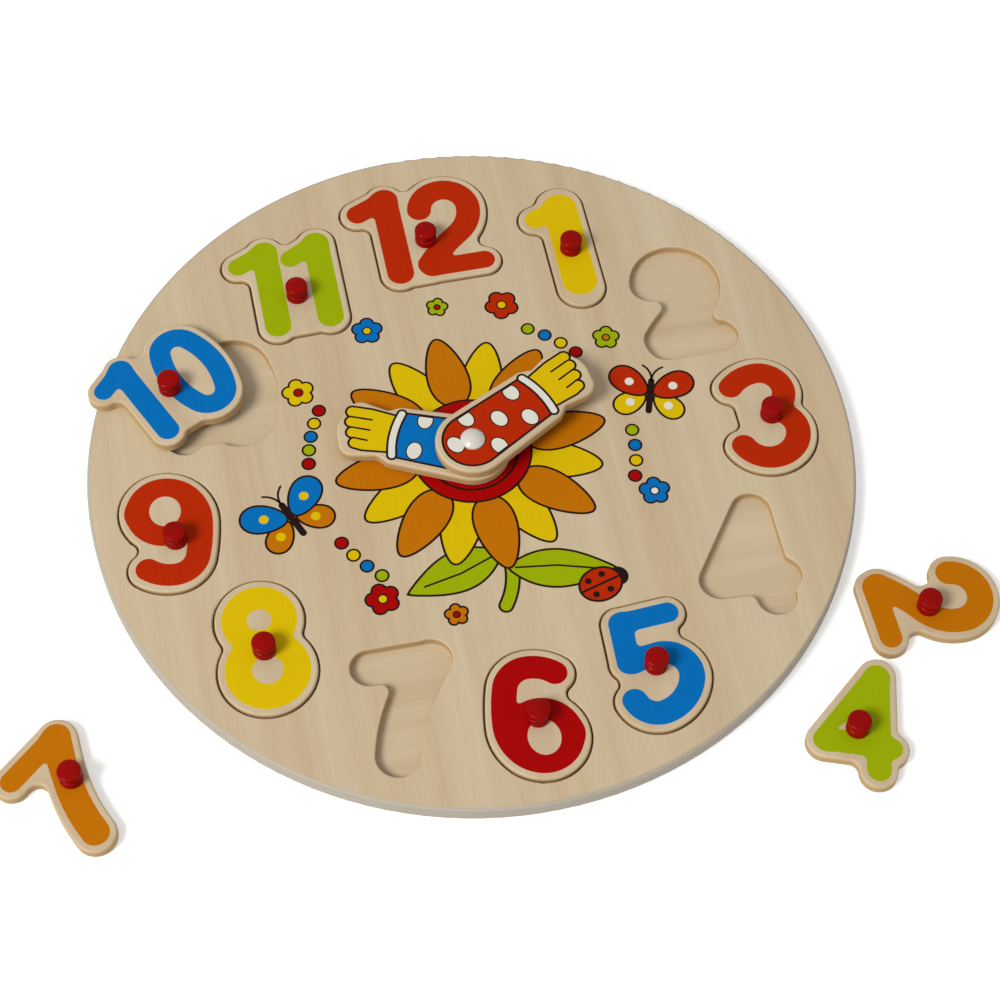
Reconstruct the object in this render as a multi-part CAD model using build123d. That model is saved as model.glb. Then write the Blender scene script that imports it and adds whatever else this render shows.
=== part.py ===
from build123d import *
import os
from math import asin, atan2, cos, hypot, radians, sin, tau
from typing import NamedTuple

# Peg-puzzle clock board: a face panel with twelve number-shaped pockets glued to a
# back panel, twelve number pieces with turned knobs, and two free hands on one pin.
# Millimetres. +Z is up, out of the face; +Y points at the 12.
# The origin is the centre of the underside.

# ---- board ----
board_diameter = 300.0
face_panel_thickness = 4.0      # the pockets go right through it
back_panel_thickness = 4.0      # closes the pockets from below
rim_round = 1.2                 # sanded outer corners of the two panels
pocket_lip_round = 0.6
ring_inset = 38.0               # rim to the circle on which the numbers are centred

# ---- number pieces ----
piece_thickness = 5.0
piece_edge_round = 0.9
digit_margin = 2.6              # bare wood outside the printed digit
blend_radius = 4.0              # inner corners of the sawn outline
pocket_clearance = 0.7          # all round a seated piece
ten_scale = 0.9                 # the 10 is drawn smaller than the other numbers

# ---- knobs ----
knob_cap_diameter = 9.0
knob_cap_thickness = 3.6
knob_dome_rise = 0.5
knob_waist_diameter = 7.6
knob_flange_diameter = 8.8
knob_flange_thickness = 3.4
knob_height = 8.0
knob_edge_round = 0.5           # outer corners of the flange and the cap
knob_stem_diameter = 3.0
knob_stem_length = 3.4
knob_stem_clearance = 0.05
knob_hole_spare_depth = 0.2     # hole past the end of the stem

# ---- hands ----
hand_thickness = 5.0
hand_edge_round = 1.2
hand_root_radius = 14.6
hand_cuff_half_width = 13.2
cuff_corner_radius = 4.0
wrist_dip = 2.4                 # the wrist's half width below the cuff's
wrist_bend_radius = 2.5         # inner corner between the cuff and the mitt
wrist_step = 2.2                # cuff to the middle of that corner
hand_mitt_half_width = 12.6
mitt_corner_radius = 6.0
mitt_nose_inset = 1.6           # the nose's radius below the mitt's half width
mitt_bulge = 2.0                # nose past the mitt's corners
mitt_length = 20.0              # end of the cuff to the fingertips
minute_sleeve_length = 37.0     # pin to the end of the cuff
minute_hand_heading = 28.0      # degrees from +X
hour_sleeve_length = 34.0
hour_hand_heading = 157.5

# ---- centre pin ----
pin_diameter = 5.0
pin_running_clearance = 0.06    # radial, in the hands' bores
pin_fixed_clearance = 0.03      # radial, in the panel, the spacers and the cap
pin_flange_diameter = 14.0
pin_flange_thickness = 1.5
pin_flange_clearance = 0.1
spacer_diameter = 12.0
spacer_thickness = 0.5
cap_play = 0.1                  # between the minute hand and the cap
cap_diameter = 9.4
cap_rim_height = 0.8
cap_height = 2.8
cap_bore_depth = 1.6

# ---- heights worked out from the sizes above ----
board_radius = board_diameter / 2
pocket_floor_z = back_panel_thickness
board_top_z = pocket_floor_z + face_panel_thickness
hour_hand_z = board_top_z + spacer_thickness
upper_spacer_z = hour_hand_z + hand_thickness
minute_hand_z = upper_spacer_z + spacer_thickness
cap_z = minute_hand_z + hand_thickness + cap_play

# The digits and their places grow or shrink with the ring on which they stand.
ring_radius = board_radius - ring_inset
drawing_unit = ring_radius / 100


class Stroke(NamedTuple):
    """A pen stroke: straight through its points, or tangent arcs from a heading."""

    half_width: float
    points: list
    heading: float | None = None

    def shrunk(self, share):
        points = [(x * share, y * share) for x, y in self.points]
        return self._replace(half_width=self.half_width * share, points=points)

    def half_turned(self, x_sum, y_sum):
        """The stroke turned by 180 degrees about (x_sum / 2, y_sum / 2)."""
        points = [(x_sum - x, y_sum - y) for x, y in self.points]
        return self._replace(points=points, heading=self.heading + 180)


class Place(NamedTuple):
    """A spot on the clock: degrees clockwise from 12, distance out in drawing units, own turn."""

    clock_angle: float
    distance: float
    turn: float = 0.0

    def location(self, z, past_radius=0.0):
        angle = radians(90 - self.clock_angle)
        reach = past_radius + self.distance * drawing_unit
        return Pos(reach * cos(angle), reach * sin(angle), z) * Rot(0, 0, self.turn)


class NumberPiece(NamedTuple):
    """One number: its printed strokes, its place on the board and where it lies now."""

    strokes: list
    pocket: Place
    knob: tuple                 # foot of the knob, in the digit's own drawing
    web: list = []              # wood outside the printed strokes
    lies_at: Place | None = None
    lies_past: float = 0.0      # radius from which that place is measured
    lies_on_z: float = 0.0

    def location(self):
        if self.lies_at is None:
            return self.pocket.location(pocket_floor_z)
        return self.lies_at.location(self.lies_on_z, self.lies_past)


# ---- digits, drawn in hundredths of the ring's radius ----


def digit_one(x, stem=4.73, foot=-16.96, head=16.96, flag=10.54, flag_y=12.5, flag_half=3.93):
    """A stem with a flag that falls away to the left of its head."""
    return [
        Stroke(stem, [(x, foot), (x, head)]),
        Stroke(flag_half, [(x - flag, flag_y), (x, head)]),
    ]


def digit_two(x):
    bowl = [(x - 9.11, 10.0), (x - 0.09, 17.86), (x + 9.02, 8.75), (x + 2.86, -3.12), (x - 9.73, -15.0)]
    return [
        Stroke(4.46, bowl, heading=82),
        Stroke(3.84, [(x - 9.73, -16.79), (x + 10.27, -16.79)]),
    ]


def digit_three():
    return [
        Stroke(4.2, [(-10.0, 14.2), (-0.45, 18.39), (8.21, 10.89), (2.23, 2.68)], heading=45),
        Stroke(4.38, [(0.89, 1.61), (8.93, -7.59), (-1.34, -16.87), (-11.43, -10.27)], heading=0),
    ]


def digit_four():
    return [
        Stroke(3.84, [(7.14, 16.87), (-10.27, -7.5)]),
        Stroke(4.02, [(7.41, 16.87), (7.41, -17.23)]),
        Stroke(3.75, [(-10.09, -7.86), (11.52, -9.46)]),
    ]


def digit_five():
    return [
        Stroke(3.75, [(-9.64, 16.61), (6.79, 17.59)]),
        Stroke(4.02, [(-9.82, 16.43), (-10.36, 1.61)]),
        Stroke(4.29, [(-10.18, 1.7), (0.0, 3.21)]),
        Stroke(4.29, [(0.0, 3.21), (8.93, -7.68), (-1.96, -17.86)], heading=7),
        Stroke(4.29, [(8.93, -7.68), (-1.96, -17.86), (-11.52, -12.14)], heading=-108),
    ]


def digit_six():
    sweep = [(8.57, 13.84), (-0.45, 17.41), (-8.3, 11.61), (-11.07, -1.79), (-8.21, -12.14), (-1.07, -16.43)]
    loop = [(8.93, -7.41), (0.0, 1.61), (-8.48, -2.68)]
    return [Stroke(4.38, sweep + loop, heading=137)]


def digit_seven():
    return [
        Stroke(3.66, [(-9.82, 16.7), (10.89, 16.52)]),
        Stroke(4.64, [(10.36, 15.71), (0.0, 0.0), (-6.25, -16.34)], heading=-128),
    ]


def digit_eight():
    return ring_stroke(-0.89, 11.52, 8.39, 4.29) + ring_stroke(-0.89, -7.32, 9.73, 4.55)


def digit_nine():
    """The six turned upside down."""
    return [stroke.half_turned(-1.92, 1.7) for stroke in digit_six()]


def digit_zero(x, half_width=8.84, half_height=17.77, end_radius=6.96):
    """An upright oval of four tangent arcs."""
    straight = half_height - end_radius
    side_radius = (half_width**2 + straight**2 - end_radius**2) / (2 * (half_width - end_radius))
    offset = side_radius - half_width
    span = hypot(offset, straight)
    joint_x = end_radius * offset / span
    joint_y = straight + end_radius * straight / span
    left = [(x - joint_x, joint_y), (x - joint_x, -joint_y)]
    right = [(x + joint_x, -joint_y), (x + joint_x, joint_y)]
    return [Stroke(4.2, [(x, half_height), *left, (x, -half_height), *right, (x, half_height)], heading=180)]


def ring_stroke(x, y, radius, half_width):
    around = [(x, y + radius), (x - radius, y), (x, y - radius), (x + radius, y), (x, y + radius)]
    return [Stroke(half_width, around, heading=180)]


numbers = {
    1: NumberPiece(digit_one(2.46, 6.43, -15.89, 17.77, 10.0, 14.38), Place(32.1, 95.89), (2.32, -1.34),
                   web=[Stroke(6.43, [(2.46, -18.57), (2.46, 18.75)])]),
    2: NumberPiece(digit_two(0.0), Place(60.7, 100.36), (1.79, -0.89),
                   lies_at=Place(121.6, 30.63, -89.0), lies_past=board_radius),
    3: NumberPiece(digit_three(), Place(92.9, 105.54), (1.16, 0.27),
                   web=[Stroke(4.11, [(-3.84, 5.36), (-3.84, -3.57)])]),
    4: NumberPiece(digit_four(), Place(125.2, 100.54), (0.45, -2.95),
                   lies_at=Place(140.2, 27.32, -15.6), lies_past=board_radius),
    5: NumberPiece(digit_five(), Place(154.1, 102.23), (-1.79, -0.89)),
    6: NumberPiece(digit_six(), Place(179.5, 102.68), (-0.36, -0.89)),
    7: NumberPiece(digit_seven(), Place(203.8, 99.55), (2.86, 2.23),
                   lies_at=Place(237.5, 45.98, 41.0), lies_past=board_radius),
    8: NumberPiece(digit_eight(), Place(233.1, 102.68), (-0.89, 0.0)),
    9: NumberPiece(digit_nine(), Place(263.8, 106.87), (0.27, -2.68)),
    10: NumberPiece([stroke.shrunk(ten_scale) for stroke in
                     digit_one(-12.05, 4.46, -17.14, 16.96, 10.36, 12.5, 3.84) + digit_zero(10.71)],
                    Place(296.0, 96.07), (-0.8, -1.52),
                    web=[Stroke(3.57, [(-11.61, -15.18), (10.71, -15.18)]).shrunk(ten_scale)],
                    lies_at=Place(295.3, 109.91, 25.4), lies_on_z=board_top_z),
    11: NumberPiece(digit_one(-5.89, foot=-17.05, head=16.07, flag=10.18, flag_y=11.52, flag_half=3.75)
                    + digit_one(13.39, foot=-16.43, head=16.79, flag=10.18, flag_y=11.61, flag_half=3.75),
                    Place(328.3, 98.66), (2.95, -5.36),
                    web=[Stroke(3.75, [(-5.89, -16.52), (13.39, -16.07)])]),
    12: NumberPiece(digit_one(-10.98, 4.91, -16.87, 17.05, 10.8, 12.5, 4.11) + digit_two(10.09),
                    Place(0.5, 98.21), (0.8, -4.02),
                    web=[Stroke(4.46, [(-10.98, -16.61), (0.36, -16.43)])]),
}


# ---- outlines ----


def pen_path(stroke):
    """The centre line of a stroke, in board millimetres."""
    points = [Vector(x, y) * drawing_unit for x, y in stroke.points]
    if stroke.heading is None:
        return Polyline(*points).wire()
    travel = radians(stroke.heading)
    direction = Vector(cos(travel), sin(travel))
    arcs = []
    for start, end in zip(points, points[1:]):
        arc = Edge.make_tangent_arc(start, direction, end)
        direction = arc.tangent_at(1)
        arcs.append(arc)
    return Wire(arcs)


def pen_face(stroke, margin):
    """The stroke at its full width plus a margin all round, with round ends."""
    reach = stroke.half_width * drawing_unit + margin
    path = pen_path(stroke)
    if path.is_closed:
        return Face(path.offset_2d(reach, kind=Kind.ARC))
    return Face(path.offset_2d(reach, kind=Kind.ARC, side=Side.BOTH, closed=True))


def rounded_union(faces_grown_by_blend, blend):
    """Joins faces that were each grown by the blend, and takes the blend off again.

    Outer corners keep their radius, and every inner corner comes out with the
    blend radius, as a saw blade leaves it.
    """
    joined = faces_grown_by_blend[0]
    for face in faces_grown_by_blend[1:]:
        joined = joined + face
    return Face(joined.face().outer_wire().offset_2d(-blend, kind=Kind.ARC))


def blank_face(piece):
    """The sawn outline of a number piece, in the digit's own drawing."""
    strokes = piece.strokes + piece.web
    return rounded_union([pen_face(stroke, digit_margin + blend_radius) for stroke in strokes], blend_radius)


def pocket_face(piece):
    return Face(blank_face(piece).outer_wire().offset_2d(pocket_clearance, kind=Kind.ARC))


def belt_face(discs):
    """The face inside a tight belt run counter-clockwise round discs given as (x, y, radius).

    A negative radius is a disc outside the belt, which bends it inwards.
    """
    headings = []
    for (x1, y1, radius1), (x2, y2, radius2) in zip(discs, discs[1:] + discs[:1]):
        tilt = asin((radius2 - radius1) / hypot(x2 - x1, y2 - y1))
        headings.append(atan2(y2 - y1, x2 - x1) - tilt)
    arcs = []
    for index, (x, y, radius) in enumerate(discs):
        arriving = headings[index - 1]
        turn = (headings[index] - arriving) % tau
        if radius < 0:
            turn -= tau
        angles = (arriving, arriving + turn / 2, arriving + turn)
        arcs.append([(x + radius * sin(angle), y - radius * cos(angle)) for angle in angles])
    edges = [Edge.make_three_point_arc(*arc) for arc in arcs]
    edges += [Edge.make_line(arc[2], after[0]) for arc, after in zip(arcs, arcs[1:] + arcs[:1])]
    return Face(Wire(edges))


def hand_face(sleeve_length):
    """A hand along +X: round root, sleeve and cuff, then a blunt mitt past a narrower wrist."""
    reach = sleeve_length + mitt_length
    nose_radius = hand_mitt_half_width - mitt_nose_inset
    cuff_y = hand_cuff_half_width - cuff_corner_radius
    bend_y = hand_cuff_half_width - wrist_dip + wrist_bend_radius
    mitt_y = hand_mitt_half_width - mitt_corner_radius
    lower_side = [
        (sleeve_length - cuff_corner_radius, -cuff_y, cuff_corner_radius),
        (sleeve_length + wrist_step, -bend_y, -wrist_bend_radius),
        (reach - mitt_bulge - mitt_corner_radius, -mitt_y, mitt_corner_radius),
    ]
    upper_side = [(x, -y, radius) for x, y, radius in reversed(lower_side)]
    root = (0.0, 0.0, hand_root_radius)
    nose = (reach - nose_radius, 0.0, nose_radius)
    return belt_face([root, *lower_side, nose, *upper_side])


# ---- solids ----


def rounded_plate(face, thickness, edge_round):
    """A flat plate with both of its edges sanded round."""
    plate = extrude(face, thickness)
    levels = plate.edges().group_by(Axis.Z)
    return fillet(levels[0] + levels[-1], edge_round)


def cylinder(diameter, height, z=0.0):
    return extrude(Pos(0, 0, z) * Circle(diameter / 2), height)


def rounded_disc(thickness, rounded_side):
    """A full board disc with the rim sanded round on one side: 0 below, -1 above."""
    disc = cylinder(board_diameter, thickness)
    return fillet(disc.edges().group_by(Axis.Z)[rounded_side], rim_round)


def face_panel():
    panel = rounded_disc(face_panel_thickness, -1)
    for piece in numbers.values():
        panel -= piece.pocket.location(0) * extrude(pocket_face(piece), face_panel_thickness)
    lips = panel.edges().group_by(Axis.Z)[-1].filter_by(lambda edge: not edge.is_closed)
    panel = fillet(lips, pocket_lip_round)
    panel -= cylinder(pin_diameter + 2 * pin_fixed_clearance, face_panel_thickness)
    return Pos(0, 0, pocket_floor_z) * panel


def back_panel():
    panel = rounded_disc(back_panel_thickness, 0)
    recess_diameter = pin_flange_diameter + 2 * pin_flange_clearance
    return panel - cylinder(recess_diameter, pin_flange_thickness, pocket_floor_z - pin_flange_thickness)


def number_piece(piece):
    plate = rounded_plate(blank_face(piece), piece_thickness, piece_edge_round)
    knob_x, knob_y = (share * drawing_unit for share in piece.knob)
    hole_depth = knob_stem_length + knob_hole_spare_depth
    hole = cylinder(knob_stem_diameter + 2 * knob_stem_clearance, hole_depth, piece_thickness - hole_depth)
    return plate - Pos(knob_x, knob_y, 0) * hole


def dome_arc(radius, edge_z, crown_z):
    """Half the profile of a domed top, from its edge to its crown on the axis."""
    rise = crown_z - edge_z
    sphere_r = (radius**2 + rise**2) / (2 * rise)
    half_sweep = asin(min(1.0, radius / sphere_r)) / 2
    middle = (sphere_r * sin(half_sweep), crown_z - sphere_r + sphere_r * cos(half_sweep))
    return ThreePointArc((radius, edge_z), middle, (0, crown_z))


def knob():
    """A turned knob standing on its flange at z = 0, with its stem below."""
    stem_r = knob_stem_diameter / 2
    flange_r = knob_flange_diameter / 2
    waist_r = knob_waist_diameter / 2
    cap_r = knob_cap_diameter / 2
    cap_z = knob_height - knob_cap_thickness
    shoulder_z = knob_height - knob_dome_rise
    sides = Polyline(
        (0, -knob_stem_length), (stem_r, -knob_stem_length), (stem_r, 0), (flange_r, 0),
        (flange_r, knob_flange_thickness), (waist_r, knob_flange_thickness), (waist_r, cap_z),
        (cap_r, cap_z), (cap_r, shoulder_z),
    )
    axis_line = Line((0, knob_height), (0, -knob_stem_length))
    profile = make_face(sides + dome_arc(cap_r, shoulder_z, knob_height) + axis_line)
    corners = profile.vertices().filter_by(lambda corner: corner.Y > 0 and corner.X > waist_r + 0.01)
    return revolve(Rot(90, 0, 0) * fillet(corners, knob_edge_round), Axis.Z)


def hand(sleeve_length):
    plate = rounded_plate(hand_face(sleeve_length), hand_thickness, hand_edge_round)
    return plate - cylinder(pin_diameter + 2 * pin_running_clearance, hand_thickness)


def spacer():
    bore = cylinder(pin_diameter + 2 * pin_fixed_clearance, spacer_thickness)
    return cylinder(spacer_diameter, spacer_thickness) - bore


def centre_pin():
    """A flanged pin, its flange held between the two panels."""
    flange_z = pocket_floor_z - pin_flange_thickness
    flange = cylinder(pin_flange_diameter, pin_flange_thickness, flange_z)
    return flange + cylinder(pin_diameter, cap_z + cap_bore_depth - flange_z, flange_z)


def hub_cap():
    """A domed cap pushed over the pin's top."""
    cap_r = cap_diameter / 2
    walls = Polyline((0, 0), (cap_r, 0), (cap_r, cap_rim_height))
    dome = dome_arc(cap_r, cap_rim_height, cap_height)
    profile = make_face(walls + dome + Line((0, cap_height), (0, 0)))
    body = revolve(Rot(90, 0, 0) * profile, Axis.Z)
    return body - cylinder(pin_diameter + 2 * pin_fixed_clearance, cap_bore_depth)


# ---- build and write ----

nodes = {
    "face_panel": face_panel(),
    "back_panel": back_panel(),
    "centre_pin": centre_pin(),
    "lower_spacer": Pos(0, 0, board_top_z) * spacer(),
    "hour_hand": Pos(0, 0, hour_hand_z) * Rot(0, 0, hour_hand_heading)
    * hand(hour_sleeve_length),
    "upper_spacer": Pos(0, 0, upper_spacer_z) * spacer(),
    "minute_hand": Pos(0, 0, minute_hand_z) * Rot(0, 0, minute_hand_heading)
    * hand(minute_sleeve_length),
    "hub_cap": Pos(0, 0, cap_z) * hub_cap(),
}
for number, piece in numbers.items():
    knob_x, knob_y = (share * drawing_unit for share in piece.knob)
    nodes[f"number_{number}"] = piece.location() * number_piece(piece)
    nodes[f"knob_{number}"] = piece.location() * Pos(knob_x, knob_y, piece_thickness) * knob()

os.makedirs("parts", exist_ok=True)
for name, shape in nodes.items():
    export_step(shape, f"parts/{name}.step")
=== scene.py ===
"""Dresses the clock puzzle's solids: plywood, screen inks, printed artwork, knobs, camera and light."""

import logging
import math
from collections.abc import Callable
from dataclasses import dataclass, field
from enum import Enum

import bmesh
import bpy
import numpy as np
from bpy.types import Material, Mesh, Node, Object
from bpy.types import NodeSocket as Socket
from bpy.types import NodeTree as Tree
from mathutils import Matrix, Vector


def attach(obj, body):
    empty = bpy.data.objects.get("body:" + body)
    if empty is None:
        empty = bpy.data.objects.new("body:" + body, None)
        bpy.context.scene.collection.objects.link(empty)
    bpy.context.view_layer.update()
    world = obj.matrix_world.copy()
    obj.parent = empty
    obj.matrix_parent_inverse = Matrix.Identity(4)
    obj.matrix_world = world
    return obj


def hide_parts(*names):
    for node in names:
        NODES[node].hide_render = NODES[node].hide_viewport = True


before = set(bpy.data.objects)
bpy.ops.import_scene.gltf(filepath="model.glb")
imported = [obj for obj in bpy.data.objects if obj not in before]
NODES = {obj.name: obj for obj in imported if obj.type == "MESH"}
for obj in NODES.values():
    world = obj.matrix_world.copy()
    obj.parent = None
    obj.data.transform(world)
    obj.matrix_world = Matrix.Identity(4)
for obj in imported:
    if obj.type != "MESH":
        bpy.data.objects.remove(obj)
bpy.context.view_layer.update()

MM = 0.001
FIBRE_STRETCH = 0.035
LOG = logging.getLogger("clock")
Spot = tuple[float, float]
Triple = tuple[float, float, float]


# ---- colours and nodes ----


def linear(hex_code: str) -> tuple[float, float, float, float]:
    """Turns an sRGB hex colour into linear RGBA.

    Args:
        hex_code: Six hex digits after a "#".

    Returns:
        Red, green, blue and an alpha of one.
    """
    channels = (int(hex_code[i : i + 2], 16) / 255 for i in (1, 3, 5))
    red, green, blue = (c / 12.92 if c <= 0.04045 else ((c + 0.055) / 1.055) ** 2.4 for c in channels)
    return red, green, blue, 1.0


def feed(tree: Tree, node: Node, inputs: dict) -> None:
    """Links or sets some of a node's sockets.

    Args:
        tree: The node's tree.
        node: The node.
        inputs: Socket name or index to a value, or to the output socket that feeds it.
    """
    for key, value in inputs.items():
        if isinstance(value, Socket):
            tree.links.new(value, node.inputs[key])
        else:
            node.inputs[key].default_value = value


def add_node(tree: Tree, kind: str, inputs: dict | None = None, **settings: object) -> Node:
    """Adds a node with its settings, its plain values and its links.

    Args:
        tree: The node tree that takes the node.
        kind: Blender's identifier of the node type.
        inputs: What its sockets take, as in feed.
        **settings: Attributes of the node itself.

    Returns:
        The new node.
    """
    node = tree.nodes.new(kind)
    for key, value in settings.items():
        setattr(node, key, value)
    feed(tree, node, inputs or {})
    return node


def shader_tree(name: str) -> tuple[Material, Tree, Node]:
    """Makes a material with an empty tree that holds one Principled shader.

    Args:
        name: The finish's name.

    Returns:
        The material, its tree and the shader node.
    """
    material = bpy.data.materials.new(name)
    material.use_nodes = True
    tree = material.node_tree
    tree.nodes.clear()
    shader = add_node(tree, "ShaderNodeBsdfPrincipled")
    add_node(tree, "ShaderNodeOutputMaterial", {"Surface": shader.outputs[0]})
    return material, tree, shader


def math_node(tree: Tree, operation: str, *values: object) -> Socket:
    """Adds a Math node."""
    return add_node(tree, "ShaderNodeMath", dict(enumerate(values)), operation=operation).outputs[0]


def coords_of(tree: Tree) -> Socket:
    """Adds the piece's own coordinates."""
    return add_node(tree, "ShaderNodeTexCoord").outputs["Object"]


def z_of(tree: Tree, vector: Socket) -> Socket:
    """Adds the Z part of a vector."""
    return add_node(tree, "ShaderNodeSeparateXYZ", {0: vector}).outputs[2]


def length_of(tree: Tree, vector: Socket) -> Socket:
    """Adds the length of a vector."""
    return add_node(tree, "ShaderNodeVectorMath", {0: vector}, operation="LENGTH").outputs["Value"]


def ramp(tree: Tree, value: Socket, low: float, high: float, start: float = 0.0, end: float = 1.0) -> Socket:
    """Adds a clamped ramp from start to end, as the value runs from low to high."""
    limits = {"From Min": low, "From Max": high, "To Min": start, "To Max": end}
    return add_node(tree, "ShaderNodeMapRange", {"Value": value, **limits}).outputs[0]


def mixed(tree: Tree, share: Socket, first: object, second: object) -> Socket:
    """Adds a mix of two colours, each a hex code, a linear colour or a socket."""
    first, second = (linear(colour) if isinstance(colour, str) else colour for colour in (first, second))
    return add_node(tree, "ShaderNodeMix", {"Factor": share, 6: first, 7: second}, data_type="RGBA").outputs[2]


def relief(tree: Tree, height: Socket, depth: float, strength: float) -> Socket:
    """Adds a fine relief, its depth in millimetres."""
    bump = {"Height": height, "Distance": depth * MM, "Strength": strength}
    return add_node(tree, "ShaderNodeBump", bump).outputs[0]


def noise(tree: Tree, vector: Socket, scale: float, detail: float = 2.0) -> Socket:
    """Adds plain cloudy noise."""
    return add_node(tree, "ShaderNodeTexNoise", {"Vector": vector, "Scale": scale, "Detail": detail}).outputs["Fac"]


def wood_fibre(tree: Tree, centre: Vector, turn: float, spacing: float) -> Socket:
    """Adds the fine fibre of a rotary-cut veneer, which runs along the piece's own Y.

    Args:
        tree: The material's tree.
        centre: Where the pattern is centred on the piece, in metres.
        turn: How far the piece is turned about Z, in radians.
        spacing: Distance between fibres, in metres.

    Returns:
        A noise value from zero to one.
    """
    placing = {"Vector": coords_of(tree), "Location": centre, "Rotation": (0, 0, turn)}
    own = add_node(tree, "ShaderNodeMapping", placing, vector_type="TEXTURE").outputs[0]
    stretch = (1 / spacing, FIBRE_STRETCH / spacing, 1 / spacing)
    stretched = add_node(tree, "ShaderNodeMapping", {"Vector": own, "Scale": stretch}).outputs[0]
    wisps = {"Vector": stretched, "Scale": 1.0, "Detail": 4.0, "Roughness": 0.6, "Distortion": 0.35}
    return add_node(tree, "ShaderNodeTexNoise", wisps).outputs["Fac"]


def seen_directly(tree: Tree) -> Socket:
    """Adds a value that is one for rays from the camera, from reflections and through clear things."""
    path = add_node(tree, "ShaderNodeLightPath").outputs
    seen = math_node(tree, "MAXIMUM", path["Is Camera Ray"], path["Is Glossy Ray"])
    return math_node(tree, "MAXIMUM", seen, path["Is Transmission Ray"])


# ---- finishes ----


class Ink(Enum):
    """The screen-printing inks, by their opaque colours."""

    BLACK = "#22120e"
    WHITE = "#d8d5c9"
    RED_ORANGE = "#af2702"
    RED = "#a00303"
    ORANGE = "#b96b02"
    YELLOW = "#d3b303"
    LIME = "#95a603"
    BLUE = "#0369b0"


@dataclass(frozen=True)
class ScreenInk:
    """Opaque screen-printing ink on varnished veneer.

    A thin matt film: even colour, with the wood's fibre just felt through it.
    """

    ink: Ink
    fibre_spacing: float = 0.45 * MM
    thin_gain: float = 1.06
    thin_lift: float = 0.0006
    roughness: float = 0.5
    specular: float = 0.04

    def material(self) -> Material:
        """Builds the ink's material, or gives the one already made.

        Returns:
            The material.
        """
        name = f"screen_ink_{self.ink.name.lower()}"
        if name in bpy.data.materials:
            return bpy.data.materials[name]
        material, tree, shader = shader_tree(name)
        fibre = wood_fibre(tree, Vector((0.31, 0.17, 0.0)), 0.0, self.fibre_spacing)
        colour = linear(self.ink.value)
        thin = tuple(min(1.0, c * self.thin_gain + self.thin_lift) for c in colour[:3]) + (1.0,)
        feed(tree, shader, {"Base Color": mixed(tree, ramp(tree, fibre, 0.35, 0.72), colour, thin),
                            "Normal": relief(tree, fibre, 0.02, 0.25),
                            "Roughness": self.roughness, "Specular IOR Level": self.specular})
        return material


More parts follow.
